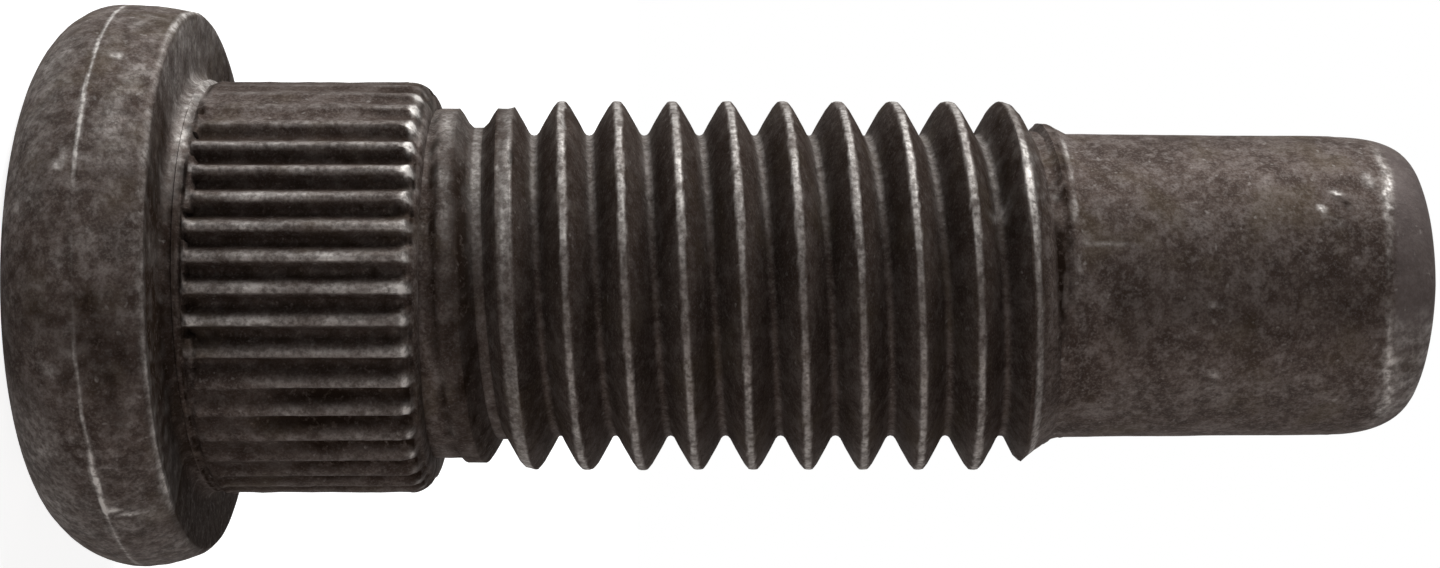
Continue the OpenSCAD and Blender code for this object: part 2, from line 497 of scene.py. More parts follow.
def shoulder_rows(sizes, angles, rise, tops):
    """Rings of the rounded shoulder with its torn ring, and the end of the blank inside it."""
    foot = shoulder_foot(sizes)
    rows = []
    for degrees in SHOULDER_RINGS:
        arc = math.radians(degrees)
        envelope = sizes.rib_radius - RIB_WEAR - sizes.shoulder_radius * (1 - math.cos(arc))
        height = foot + sizes.shoulder_radius * math.sin(arc)
        points = polar(envelope, angles, height)
        ribbed = tops - sizes.groove_depth * (1 - rise) * groove_share(angles, height, 0.0)
        ring = END_RING_DEPTH * hump(height, foot + END_RING_Z, END_RING_WIDTH)
        ring = ring * np.clip(0.75 + 1.2 * grain(points, 0.8, 12), 0, 1.3)
        radius = np.minimum(envelope, ribbed) - ring + 0.02 * grain(points, 0.5, 6)
        radius -= pit_depth(SHOULDER_PITS, angles, height, sizes.rib_radius)
        row = polar(np.minimum(radius, sizes.rib_radius), angles, height)
        row[:, 0] += band_shift(sizes, height)
        rows.append(row)
    top = foot + sizes.shoulder_radius
    core = sizes.rib_radius - sizes.shoulder_radius - CORE_INSET
    return [*rows, polar(core, angles, top), np.array([[0.0, 0.0, top]])]


# The rolled thread

# Half of the crest and of the root: distance from its middle along the axis, and rise
CREST_HALF = ((0.06, 1.0), (0.13, 0.985), (0.18, 0.93))
ROOT_HALF = ((0.155, 0.085), (0.085, 0.02), (0.0, 0.0))
# Distances of the flank's lines from the middle of the crest, and how far it runs into the root
FLANK = (0.27, 0.40, 0.56)
FLANK_OVERRUN = 0.07
# Points in each turn of a line
STEPS = 120

# Radius to which the crest is cut, in turns from the start of the thread
CUT_TURNS = (0.0, 2.12, 2.6)
CUT_RADII = (5.65, 5.65, 5.9)
# The bar tapers here from the thread to the pilot, and the last turn is rolled only up to it
TAPER_HEIGHTS = (29.9, 30.2, 30.5, 30.8, 31.1, 31.4, 31.7, 32.05)
TAPER_RADII = (5.9, 5.78, 5.57, 5.31, 5.11, 4.99, 4.91, 4.8)
# Radius of the root over the run-in, which goes by the groove, and over the run-out
RUN_IN_TURNS = (0.5, 0.62, 0.95, 1.05, 1.3, 1.55, 1.8, 2.1, 2.4)
RUN_IN_RADII = (5.65, 5.57, 5.56, 5.48, 5.2, 5.04, 5.0, 4.87, 4.79)
RUN_OUT_TURNS = (11.0, 11.3, 11.55, 11.8, 12.05, 12.3)
RUN_OUT_RADII = (4.79, 4.86, 4.93, 4.95, 4.87, 4.8)
# Radius at which the last turn ends, just inside the pilot's surface
FADE_R = 4.8
# A torn lip on the last turn
LIP_ANGLE = 186
LIP_ARC = 16
LIP_Z = 31.35
LIP_WIDTH = 0.35
LIP_HEIGHT = 0.13

# Nicks in the thread: angle, height, size along and across, depth
THREAD_NICKS = (
    (209, 16.15, 0.5, 0.16, 0.34), (236, 14.9, 0.35, 0.14, 0.16), (208, 19.9, 0.12, 0.1, 0.18),
    (214, 29.6, 0.4, 0.12, 0.14), (232, 30.1, 0.3, 0.1, 0.14), (302, 26.6, 0.25, 0.1, 0.12),
    (251, 22.0, 0.3, 0.1, 0.12), (284, 19.4, 0.3, 0.1, 0.1), (330, 24.1, 0.25, 0.1, 0.14),
    (60, 18.0, 0.4, 0.14, 0.2), (120, 24.5, 0.3, 0.12, 0.2), (226.5, 14.55, 0.3, 0.09, 0.3),
    (232, 12.26, 0.3, 0.09, 0.08), (242, 12.34, 0.35, 0.08, 0.08), (247, 13.95, 0.3, 0.1, 0.1),
)
# Radius at which their size along the thread is measured
NICK_R = 5.6


def thread_lines(sizes):
    """Place along the axis and rise of each line of the profile, over one pitch."""
    middle = sizes.pitch / 2
    half_crest = sizes.crest_width / 2
    flank_run = middle - ROOT_HALF[0][0] + FLANK_OVERRUN - half_crest
    flank = [(offset, 1 - (offset - half_crest) / flank_run) for offset in FLANK]
    lines = [(-offset, rise) for offset, rise in reversed(CREST_HALF)]
    lines += [*CREST_HALF, *flank]
    lines += [(middle - offset, rise) for offset, rise in ROOT_HALF]
    lines += [(middle + offset, rise) for offset, rise in reversed(ROOT_HALF[:-1])]
    lines += [(sizes.pitch - offset, rise) for offset, rise in reversed(flank)]
    return lines


def thread_line(sizes, offset, rise, count):
    """Points of one line of the profile, wound from the start of the thread."""
    turns = np.arange(count) / STEPS
    here = turns + offset / sizes.pitch
    angle = sizes.start_turn + 360 * turns
    z = sizes.start_height + sizes.crest_width / 2 + sizes.pitch * turns + offset
    root = np.maximum(
        np.interp(turns + 0.5, RUN_IN_TURNS, RUN_IN_RADII),
        np.interp(here, RUN_OUT_TURNS, RUN_OUT_RADII),
    )
    full = np.maximum(root, sizes.root_radius + (sizes.major_radius - sizes.root_radius) * rise)
    lip = LIP_HEIGHT * hump(angle_from(angle, LIP_ANGLE), 0, LIP_ARC) * hump(z, LIP_Z, LIP_WIDTH)
    cut = np.minimum(
        np.interp(here, CUT_TURNS, CUT_RADII),
        np.interp(z, TAPER_HEIGHTS, TAPER_RADII) + lip,
    )
    points = polar(sizes.major_radius, angle, z)
    worn = 0.02 + 0.03 * abs(grain(points, 0.9, 31)) + 0.014 * grain(points, 0.3, 33)
    on_crest = smooth(0.75, 1.0, rise) * (0.3 + 0.7 * smooth(5.66, 5.8, cut))
    radius = np.minimum(full, cut - 0.02 * (1 - rise)) - worn * on_crest * (cut > 5)
    rugged = 0.012 + 0.03 * smooth(28.6, 29.6, z)
    radius += rugged * grain(points, 0.4, 35) * (1 - on_crest) * (full > 4.83)
    for nick_angle, nick_z, along, across, depth in THREAD_NICKS:
        far = np.radians(angle_from(angle, nick_angle)) * NICK_R
        radius -= depth * rise * np.exp(-(far / along) ** 2 - ((z - nick_z) / across) ** 2)
    wander = (0.024 * grain(points, 1.7, 37) + 0.012 * grain(points, 0.6, 38)) * rise
    radius[0] = sizes.neck_radius
    radius[turns >= sizes.turns] = FADE_R
    return polar(radius, angle, z + wander)


def thread_faces(sections, count):
    """Faces between the lines of the thread, and the flat rings that close its two ends."""
    long_line = sections + STEPS + 1
    short_line = sections + 1
    low_ring = long_line + (count - 1) * short_line
    high_ring = low_ring + STEPS - 1

    def at(section, line):
        """A point of the skin. The line after the last one is the first, a turn further on."""
        if line == 0:
            return section
        if line == count:
            return section + STEPS
        return long_line + (line - 1) * short_line + section

    def low(i):
        """A point of the ring at the start."""
        return at(0, 0) if i % STEPS == 0 else low_ring + i - 1

    def high(i):
        """A point of the ring at the end."""
        return at(sections + STEPS, 0) if i % STEPS == 0 else high_ring + i - 1

    faces = [tuple(low(i) for i in range(STEPS))]
    faces.append((low(0), at(1, 0), low(1)))
    faces += [(low(i), at(i, 0), at(i + 1, 0), low(i + 1)) for i in range(1, STEPS - 1)]
    start = tuple(at(0, line) for line in range(count, -1, -1))
    faces.append((low(STEPS - 1), at(STEPS - 1, 0)) + start)
    for section in range(sections):
        for line in range(count):
            faces.append((
                at(section, line), at(section, line + 1),
                at(section + 1, line + 1), at(section + 1, line),
            ))
    end = tuple(at(sections, line) for line in range(count + 1))
    faces.append((at(sections + 1, 0),) + end + (high(1),))
    faces += [
        (at(sections + i, 0), high(i), high(i + 1), at(sections + i + 1, 0))
        for i in range(1, STEPS - 1)
    ]
    faces.append((at(sections + STEPS - 1, 0), high(STEPS - 1), high(0)))
    faces.append(tuple(high(i) for i in range(STEPS - 1, -1, -1)))
    return [tuple(reversed(face)) for face in faces]


def thread_surface(sizes):
    """The thread as one closed skin. Its first line runs one turn further than the others, so
    that the first and the last turn close against flat rings."""
    lines = thread_lines(sizes)
    sections = round(sizes.turns * STEPS)
    counts = [sections + STEPS + 1] + [sections + 1] * (len(lines) - 1)
    parts = [thread_line(sizes, *line, count) for line, count in zip(lines, counts)]
    low_x, low_y, low_z = parts[0][0]
    high_z = parts[0][-1][2]
    ring = sizes.start_turn + 360 * np.arange(1, STEPS) / STEPS
    parts.append(polar(math.hypot(low_x, low_y), ring, low_z))
    parts.append(polar(FADE_R, ring + 360 * sections / STEPS, high_z))
    return np.concatenate(parts), thread_faces(sections, len(lines))


# The plain pilot

PILOT_COLUMNS = 240
# First rings: height above the start, step outwards, and how far the folded edge stands out
PILOT_FOOT = (
    (-0.25, -0.6, 0.0), (0.0, -0.02, 0.0), (0.1, 0.0, -0.10), (0.18, 0.0, -0.14),
    (0.28, 0.0, -0.06), (0.34, 0.0, 0.045), (0.42, 0.0, 0.05), (0.52, 0.0, 0.02), (0.7, 0.0, 0.0),
)
# The other rings, as shares of their stretch or as degrees on the rounded end
PILOT_RINGS = np.linspace(0, 1, 35)[1:]
NOSE_RINGS = (*np.linspace(0, 36, 13)[1:], *range(40, 91, 5))
END_RINGS = (0.96, 0.8, 0.55, 0.3, 0.1)
# How far the flat end falls from its middle to its edge
END_RELIEF = 0.012
# Roundness of the end: 2 is an ellipse, and the upper side is fuller
NOSE_POWER = 2.0
NOSE_FULLER = 0.3
# The thread's last turn was folded over the pilot here: middle and half width, in degrees
LAP_MIDDLE = 232
LAP_HALF = 42
LAP_FADE = 8


def lap_amount(angle):
    """1 where the folded edge stands over the pilot."""
    away = abs(angle_from(angle, LAP_MIDDLE))
    return smooth(LAP_HALF + LAP_FADE, LAP_HALF - LAP_FADE, away)


def pilot_rows(sizes):
    """Rings of the pilot, from inside the thread to its flat end."""
    angles = np.arange(PILOT_COLUMNS) * 360 / PILOT_COLUMNS
    lap = lap_amount(angles)
    rows = [np.array([[0.0, 0.0, sizes.start_height + PILOT_FOOT[0][0]]])]
    for up, outwards, folded in PILOT_FOOT:
        height = sizes.start_height + up
        points = polar(sizes.radius, angles, height)
        uneven = 1 + 0.8 * grain(points, 1.1, 41)
        z = height + 0.05 * grain(points, 1.4, 43) * (up > 0)
        rows.append(polar(sizes.radius + outwards + folded * lap * uneven, angles, z))
    foot = sizes.start_height + PILOT_FOOT[-1][0]
    nose = STUD_LENGTH - sizes.nose_height
    for part in PILOT_RINGS:
        radius = sizes.radius + (sizes.end_radius - sizes.radius) * part
        points = polar(radius, angles, foot + (nose - foot) * part)
        radius = radius + 0.012 * rough(points, 2.2, 45) + 0.005 * grain(points, 0.3, 47)
        rows.append(polar(radius, angles, points[:, 2]))
    return rows + nose_rows(sizes, angles)


def nose_rows(sizes, angles):
    """Rings of the rounded end and of the flat at its tip, both lower on one side."""
    across = np.cos(np.radians(angles))
    tilt = sizes.nose_tilt * np.maximum(across, 0)
    bend = 2 / (NOSE_POWER + NOSE_FULLER * np.maximum(-across, 0))
    rows = []
    for degrees in NOSE_RINGS:
        arc = math.radians(degrees)
        along = math.sin(arc) ** bend
        radius = sizes.flat_radius + (sizes.end_radius - sizes.flat_radius) * math.cos(arc) ** bend
        rise = (sizes.nose_height - END_RELIEF - tilt) * along
        points = polar(radius, angles, STUD_LENGTH - sizes.nose_height + rise)
        radius = radius + 0.012 * rough(points, 1.8, 45) - 0.01
        rows.append(polar(radius, angles, points[:, 2]))
    for part in END_RINGS:
        points = polar(sizes.flat_radius * part, angles, STUD_LENGTH)
        sunk = END_RELIEF * (1 + 0.6 * rough(points, 1.5, 49)) + tilt
        points[:, 2] = np.minimum(STUD_LENGTH - sunk * part, STUD_LENGTH)
        rows.append(points)
    return [*rows, np.array([[0.0, 0.0, STUD_LENGTH]])]


# Where the coat is worn and where grime sits, and where light and shade are painted onto it

# The wear value also carries painted light and highlights, and the grime value painted shade
WEAR_AND_LIGHT_NAME = "wear_and_light"
GRIME_AND_SHADE_NAME = "grime_and_shade"
EVEN_NAME = "even"
# The greatest value that any of the three can have
MOST = 1.5

# How much each place is rubbed or painted lighter, and how much grime or painted shade it holds
RUBBED_AND_LIT = {
    "rim line and highlight": 1.5, "edge line and highlight": 0.8, "head light and shade": 1.0, "head mottle": 0.32, "fillet": 0.62,
    "seat": 0.17, "rib tops": 1.0, "rib end highlights": 1.0, "lit upper shoulder": 0.16,
    "shoulder mottle": 0.22, "lit first land": 0.15, "neck": 0.33, "crests": 1.0, "roots": 1.0,
    "last turn": 0.42, "fold": 0.75, "pale ring": 1.0, "low end": 0.68, "light on lower pilot": 0.12,
    "spots": 1.0,
}
SOILED_AND_SHADED = {
    "head light and shade": 1.0, "head mottle": 0.6, "under the head": 0.7, "seat": 1.0, "grooves": 0.72,
    "smeared ribs": 0.3, "flat ribs": 0.34, "lower ribs": 0.18, "collar gap": 0.8,
    "torn ring": 1.0, "shoulder mottle": 0.6, "neck foot": 0.85, "neck end": 1.0,
    "flanks": 1.0, "last turn": 0.5, "fold": 1.0, "cracks": 0.8, "shade on pilot middle": 0.26,
    "spots": 1.0,
}

# How clearly each line shows: angles, and the share at each of them
# The rim line is rubbed and also a painted highlight: brightest on the lit upper and lower sides,
# dim facing the camera
RIM_LINE_AND_HIGHLIGHT_SHOWN = (
    [150, 185, 200, 245, 252, 275, 283, 300, 308, 330, 350],
    [0.2, 0.5, 1, 1, 0.15, 0.1, 0.45, 0.7, 1, 0.6, 0.3],
)
# The edge line around the seat is partly rubbed and partly a painted highlight, strongest on the
# lit upper and lower sides
EDGE_LINE_AND_HIGHLIGHT_SHOWN = (
    [150, 192, 204, 214, 240, 250, 262, 275, 285, 312, 325],
    [0.5, 2.2, 1.8, 0.6, 0.55, 0.5, 0.35, 0.8, 1.8, 1.9, 0.3],
)
# Crests: worn, and painted brighter on the lit upper and lower sides, dimmer facing the camera
CREST_AND_HIGHLIGHT_SHOWN = (
    [0, 90, 180, 218, 232, 241, 251, 260, 270, 280, 289, 299, 310, 330, 360],
    [0.8, 0.85, 0.9, 0.87, 1, 1.04, 0.93, 0.70, 0.45, 0.46, 0.54, 0.69, 0.64, 0.85, 0.8],
)
TOPS_SHOWN = (
    [180, 205, 230, 240, 278, 286, 290, 297, 306, 318, 335],
    [0.2, 0.60, 0.75, 0.78, 0.90, 0.55, 0.34, 0.62, 0.55, 0.28, 0.2],
)
# Rib ends: worn, with painted highlights strongest on the lit upper side
END_HIGHLIGHTS_SHOWN = ([196, 208, 233, 241, 262, 280, 300, 330], [0.0, 3.6, 4.2, 1.6, 0.6, 0.6, 1.3, 0.5])
TORN_RING_SHOWN = ([180, 195, 250, 265], [0.7, 1.3, 1.2, 0.5])
# Roots: painted lighter on the lit upper side
LIT_ROOTS_SHOWN = ([170, 190, 235, 262], [0.1, 0.36, 0.32, 0.05])
NECK_END_SHOWN = ([222, 242, 270, 286], [0, 0.6, 0.6, 0.3])
RING_SHOWN = (
    [200, 218, 232, 248, 262, 285, 300, 318, 335],
    [0.1, 0.8, 1.1, 0.9, 0.3, 0.3, 0.7, 0.8, 0.2],
)
RING_WIDTH = ([215, 240, 262, 290, 312], [0.18, 0.15, 0.05, 0.14, 0.3])
# Grime on the flanks, and how much more or less even the coat is on the rounded end, by angle
FLANK_DIRT = ([240, 275, 300], [0.62, 0.52, 0.47])
EVEN_CHANGE = ([215, 232, 262, 282, 298, 330, 350], [0, 0.3, 0.1, 0.2, -0.6, -0.5, 0])
# Painted light and shade on the crown and on the rim, by angle: paler towards the lit upper and
# lower sides, darker facing the camera. Below zero it is darker
CROWN_LIGHT_AND_SHADE = (
    [190, 215, 232, 244, 254, 263, 278, 288, 298, 310, 340],
    [0.05, 0.12, 0.16, 0.05, 0.17, -0.16, -0.32, 0.0, 0.12, 0.17, 0.17],
)
RIM_LIGHT_AND_SHADE = (
    [200, 221, 232, 244, 254, 263, 270, 278, 288, 298, 310, 322, 345],
    [0.04, 0.05, 0.0, 0.08, 0.0, 0.14, -0.06, -0.26, -0.17, 0.0, 0.08, 0.15, 0.1],
)

# Arcs: the angles at which each one starts, is full, fades and ends
LIT_SIDE = (150, 190, 232, 252)
# The lit part of the seat, where light is painted
LIT_SEAT = (150, 190, 216, 232)
FLAT_RIBS = (150, 170, 196, 212)
# The upper side of the shoulder, painted lighter where the light falls
LIT_SHOULDER = (180, 192, 214, 232)
# The first land, painted lighter where the light falls on it
LIT_FIRST_LAND = (195, 215, 262, 275)
LIT_NECK = (190, 208, 240, 285)
LAST_TURN = (190, 205, 240, 262)
CRACKS = (212, 222, 288, 300)
LOW_END = (274, 287, 325, 345)
# The rubbed stretch across a rib, in the same order
RIB_TOP = (-0.28, 0.04, 0.15, 0.22)

# Wide marks on the rim's line: angle, half width around, and by how much the line is wider
WIDE_MARKS = ((234, 7, 0.022), (307, 7, 0.035))

# Single marks: angle, height, half widths around and along in millimetres, and how bright.
# Below zero it is grime
# The broad faint pale marks on the head's upper side, at 222, 241 and 244 degrees, are painted
# light
HEAD_SPOTS = (
    (199, 4.55, 0.3, 0.1, -0.6), (302, 1.1, 1.3, 0.7, 0.2), (320, 1.3, 1.2, 0.7, 0.26),
    (222, 1.2, 1.4, 0.6, 0.16), (244, 1.1, 1.0, 0.5, 0.12), (241, 3.5, 1.3, 0.7, 0.14),
    (282, 3.5, 1.2, 0.8, -0.35), (322, 3.6, 1.0, 0.6, 0.12), (220.1, 3.13, 0.16, 0.16, 1.0),
    (247.2, 2.05, 0.14, 0.12, 1.0), (245.5, 2.2, 0.3, 0.10, 0.5), (316.6, 2.84, 0.3, 0.06, 1.0),
    (318.0, 3.05, 0.10, 0.22, 1.0), (319.8, 3.5, 0.08, 0.3, 0.8), (310.0, 2.88, 0.5, 0.05, 0.8),
    (235.0, 3.3, 0.8, 0.3, 0.25), (226.0, 3.7, 0.5, 0.3, 0.3), (314.5, 4.55, 0.5, 0.12, 0.22),
    (285.6, 1.9, 0.25, 0.25, 0.3), (206, 3.3, 0.4, 0.25, 0.25), (292.0, 1.2, 0.5, 0.4, -0.35),
    (275.0, 3.2, 0.7, 0.6, -0.3), (296.0, 3.6, 0.6, 0.4, -0.3),
)
COLLAR_SPOTS = (
    (215, 5.14, 0.15, 0.14, -1.5), (238, 5.05, 0.14, 0.13, -1.5), (223, 4.98, 0.14, 0.10, -1.3),
    (244, 5.05, 0.1, 0.1, -1.2), (192.5, 4.98, 0.2, 0.12, -1.4), (208, 4.87, 0.16, 0.1, -1.2),
)
SHOULDER_SPOTS = (
    (223, 12.18, 0.3, 0.12, -1.3), (233.5, 12.3, 0.35, 0.14, -1.3), (252, 12.35, 0.9, 0.09, -1.0),
    (186, 11.66, 0.5, 0.14, -1.5), (203.5, 12.1, 0.2, 0.10, -1.3), (196, 11.85, 0.3, 0.10, -1.0),
    (218, 12.3, 0.2, 0.12, -0.6), (262, 12.5, 0.5, 0.14, -0.4), (233, 13.45, 0.7, 0.16, 0.2),
)
THREAD_SPOTS = (
    (226.5, 14.55, 0.3, 0.1, -1.0), (221.5, 14.44, 0.55, 0.06, 0.6), (254, 14.44, 0.9, 0.07, 0.45),
    (246, 14.38, 0.3, 0.06, 0.3), (246.0, 29.1, 0.15, 0.1, 0.6), (243.8, 29.45, 0.2, 0.12, 0.5),
    (236.4, 30.16, 0.6, 0.16, 0.5), (226, 30.15, 0.3, 0.14, 0.3), (250.4, 30.91, 0.2, 0.12, -0.7),
    (255.8, 31.03, 0.45, 0.16, -0.9), (263.5, 31.0, 0.4, 0.18, -0.9),
    (270.0, 31.02, 0.3, 0.14, -0.8), (276.0, 31.07, 0.3, 0.12, -0.6),
)
PILOT_SPOTS = (
    (233.8, 39.6, 0.09, 0.13, 1.2), (240.8, 39.09, 0.13, 0.10, 1.1), (244, 39.24, 0.07, 0.12, 0.6),
    (247, 39.54, 0.16, 0.08, 0.5), (238.7, 39.85, 0.14, 0.12, -1.0), (227, 40.71, 0.35, 0.18, 0.6),
    (254.6, 32.55, 0.05, 0.75, 0.8), (256.5, 32.0, 0.2, 0.06, 0.5), (276.9, 35.67, 0.1, 0.25, 0.5),
    (304.0, 35.85, 0.12, 0.22, 0.5), (262, 37.5, 0.15, 0.1, 0.4), (236.0, 39.65, 0.12, 0.12, -0.8),
    (228.0, 39.9, 0.2, 0.2, -0.4), (290.0, 33.4, 0.3, 0.3, -0.3),
)
SPOTS = (*HEAD_SPOTS, *COLLAR_SPOTS, *SHOULDER_SPOTS, *THREAD_SPOTS, *PILOT_SPOTS)
# No spot reaches inside this radius, so none shows on the two flat ends
SPOTS_R = 4.6


class Skin:
    """The points of the joined mesh, and how worn, how grimy and how even the coat is there. Worn
    also holds painted light, and grimy painted shade.
    """

    def __init__(self, mesh, blank):
        flat = np.empty(len(mesh.vertices) * 3)
        mesh.vertices.foreach_get("co", flat)
        self.points = flat.reshape(-1, 3) / MM
        on_band = self.points[:, 2] < shoulder_foot(blank) + 0.8
        self.points[:, 0] -= band_shift(blank, self.points[:, 2]) * on_band
        x, y, self.z = self.points.T
        self.radius = np.hypot(x, y)
        self.angle = np.degrees(np.arctan2(y, x)) % 360
        self.on_head = self.z < blank.head_height + 0.12
        self.coarse = grain(self.points, 0.9, 61)
        self.fine = grain(self.points, 0.28, 63)
        self.mottle = grain(self.points, 0.4, 65)
        self.wear_and_light = np.zeros(len(self.z))
        self.grime_and_shade = np.zeros(len(self.z))
        self.even = np.zeros(len(self.z))

    def around(self, table):
        """The value at each point from a table by angle."""
        return np.interp(self.angle, *table)

    def arc(self, angles):
        """1 inside an arc and 0 outside it, with soft ends."""
        return window(self.angle, *angles)

    def patchy(self, base, coarse=0.0, fine=0.0):
        """A share that goes up and down with coarse and fine lumps."""
        return base + coarse * self.coarse + fine * self.fine

    def rub_and_light(self, place, amount):
        """Wears the coat at a place, or paints light there."""
        self.wear_and_light += RUBBED_AND_LIT[place] * amount

    def soil_and_shade(self, place, amount):
        """Puts grime on a place, or paints shade there."""
        self.grime_and_shade += SOILED_AND_SHADED[place] * amount

    def vary(self, place, where, lumps):
        """Rubs or lightens a place where the lumps are above zero, and soils or shades it where
        they are below.
        """
        self.rub_and_light(place, where * np.maximum(lumps, 0))
        self.soil_and_shade(place, where * np.maximum(-lumps, 0))

    def write(self, mesh):
        """Keeps the three values on the mesh for the finish to read."""
        values_of = {WEAR_AND_LIGHT_NAME: self.wear_and_light, GRIME_AND_SHADE_NAME: self.grime_and_shade, EVEN_NAME: self.even}
        for name, values in values_of.items():
            layer = mesh.attributes.new(name, "FLOAT", "POINT")
            layer.data.foreach_set("value", np.clip(values, 0, MOST).astype(np.float32))


def mark_head(skin, blank):
    """A broken line where crown meets rim and a bright edge around the seat, both rubbed and partly
    painted highlight, a mottled skin, and painted light and shade by angle.
    """
    width = 0.043 + 0.012 * skin.fine
    for middle, half_width, wider in WIDE_MARKS:
        width = width + wider * hump(skin.angle, middle, half_width)
    rim_line = hump(skin.z + 0.05 * skin.coarse, rim_line_z(blank, skin.angle), width)
    upright = skin.z - head_lean(blank, skin.angle, skin.z)
    edge_line = hump(upright, blank.head_height - 0.07, 0.055) * (skin.radius > 8.2)
    broken = skin.on_head * skin.patchy(0.65, 0.5, 0.3)
    # Rubbed lines that also paint the highlights of the rim and of the seat edge
    skin.rub_and_light("rim line and highlight", broken * rim_line * skin.around(RIM_LINE_AND_HIGHLIGHT_SHOWN))
    skin.rub_and_light("edge line and highlight", broken * edge_line * skin.around(EDGE_LINE_AND_HIGHLIGHT_SHOWN))
    # Painted light and shade on the head: paler where the lamps fall, darker facing the camera
    tone = skin.around(RIM_LIGHT_AND_SHADE)
    tone += smooth(2.3, 1.5, skin.z) * (skin.around(CROWN_LIGHT_AND_SHADE) - tone)
    skin.vary("head light and shade", skin.on_head, tone * skin.patchy(1, 0.8))
    skin.vary("head mottle", skin.on_head, skin.mottle)


def mark_seat(skin, blank):
    """Painted shade on the bearing face under the head, weaker on the lit side, a painted highlight
    on the fillet on the lit side, and painted shade and light on the seat.
    """
    up = skin.z - blank.head_height
    lit_side = skin.arc(LIT_SIDE)
    edge = blank.head_radius - blank.rim_taper - blank.rim_bevel
    under = (skin.radius < edge - 0.05) & (up > -0.3) & (up < 0.45)
    # Painted shade under the head, lighter on the lit side
    skin.soil_and_shade("under the head", under * (1 - 0.8 * lit_side) * skin.patchy(1, fine=0.4))
    # Painted highlight on the fillet, on the lit side only
    fillet = hump(up, 0.27, 0.22) * smooth(7.05, 6.8, skin.radius)
    skin.rub_and_light("fillet", fillet * lit_side * skin.patchy(0.8, 0.5, 0.6))
    # Painted shade on the seat away from the light, and painted light on its lit side
    seat = under * smooth(262, 250, skin.angle)
    rings = 0.3 * hump(skin.radius, 7.9, 0.4) + 0.7 * hump(skin.radius, 7.2, 0.35)
    skin.soil_and_shade("seat", seat * smooth(214, 236, skin.angle) * rings)
    skin.rub_and_light("seat", seat * skin.arc(LIT_SEAT) * skin.patchy(1, 1))


def mark_ribs(skin, blank):
    """Bright tops, black grooves and a dark gap at the foot of the ribs."""
    z = skin.z
    foot = ribs_foot(blank)
    end = shoulder_foot(blank)
    on_ribs = (z > foot - 0.3) & (z < end + blank.shoulder_radius)
    top = window(rib_phase(blank, skin.angle), *RIB_TOP) * (z > foot - 0.25)
    share = groove_share(skin.angle, z, 0.5 * skin.coarse)
    lit = skin.around(TOPS_SHOWN) * (0.35 + 0.65 * share)
    lit *= 1 - 0.75 * smooth(290, 296, skin.angle) * smooth(8.0, 6.6, z)
    lit *= smooth(end + 0.85, end + 0.55, z) * skin.patchy(0.6, 0.5, 0.3)
    skin.rub_and_light("rib tops", on_ribs * top * lit)
    deep = smooth(6.52, 6.2, skin.radius) * (z < end + 0.55) * (z > foot - 0.2)
    deep *= 1 - 0.4 * smooth(284, 294, skin.angle) * smooth(9.4, 7.6, z + 0.8 * skin.coarse)
    skin.soil_and_shade("grooves", on_ribs * deep * skin.patchy(1, fine=0.5))
    smeared = smooth(286, 296, skin.angle) * smooth(10.2, 8.6, z + 0.6 * skin.coarse)
    smeared += 0.3 * smooth(290, 300, skin.angle)
    skin.soil_and_shade("smeared ribs", on_ribs * smeared * (1 - top))
    skin.soil_and_shade("flat ribs", on_ribs * skin.arc(FLAT_RIBS))
    skin.soil_and_shade("lower ribs", on_ribs * smooth(300, 325, skin.angle))
    gap = hump(z, foot + GAP_Z, GAP_WIDTH) * (skin.radius > 6) * smooth(-0.3, 0.2, skin.fine)
    skin.soil_and_shade("collar gap", gap)


def mark_shoulder(skin, blank):
    """Rib ends worn and painted with highlights, a paler upper side that is painted light, and
    grime in the torn ring.
    """
    up = skin.z - shoulder_foot(blank)
    # The rib ends carry painted highlights, strongest on the lit upper side
    end = hump(up, 0.48, 0.10) * hump(rib_phase(blank, skin.angle), 0.04, 0.19)
    skin.rub_and_light("rib end highlights", end * skin.around(END_HIGHLIGHTS_SHOWN) * skin.patchy(1, 0.4))
    skin.vary("shoulder mottle", (up > 0.4) & (skin.z < 14.2), skin.mottle)
    # The upper side of the shoulder is painted lighter where the light falls
    past_ribs = smooth(0.3, 0.6, up) * (skin.z < 13.1)
    skin.rub_and_light("lit upper shoulder", past_ribs * skin.arc(LIT_SHOULDER) * skin.patchy(1, 1))
    ring = hump(up, END_RING_Z, 0.08) * smooth(-0.4, 0.1, skin.coarse)
    skin.soil_and_shade("torn ring", ring * skin.around(TORN_RING_SHOWN))


def thread_place(skin, thread):
    """Turns from the start of the thread's crest, and the distance to the nearest crest."""
    turns = (skin.z - thread.start_height - thread.crest_width / 2) / thread.pitch
    turns = turns - (skin.angle - thread.start_turn) / 360
    return turns, ((turns + 0.5) % 1 - 0.5) * thread.pitch


def mark_neck(skin, thread):
    """The first land and the neck along the first turn, rubbed and painted lighter on the lit side,
    with a dark line on each side.
    """
    turns, _ = thread_place(skin, thread)
    past_first = (turns - 1) * thread.pitch
    neck = (skin.z > 12.2) & (skin.z < 13.9)
    land_z = 13.2 + (skin.angle - 180) / 360 * thread.pitch
    # The first land is painted lighter where the light falls on it
    lit_first_land = hump(skin.z, land_z, 0.25) * (skin.radius < 5.2)
    skin.rub_and_light("lit first land", lit_first_land * skin.arc(LIT_FIRST_LAND))
    # The neck's first turn is rubbed, and painted lighter on the lit side
    foot = neck * hump(past_first, -0.03, 0.2)
    skin.rub_and_light("neck", foot * skin.arc(LIT_NECK) * skin.patchy(0.8, 0.9))
    torn = smooth(-0.3, 0.2, skin.patchy(0, 1, 0.6)) * smooth(206, 225, skin.angle)
    skin.soil_and_shade("neck foot", neck * hump(past_first, -0.46, 0.13) * torn)
    skin.soil_and_shade("neck end", neck * hump(past_first, 0.46, 0.16) * skin.around(NECK_END_SHOWN))


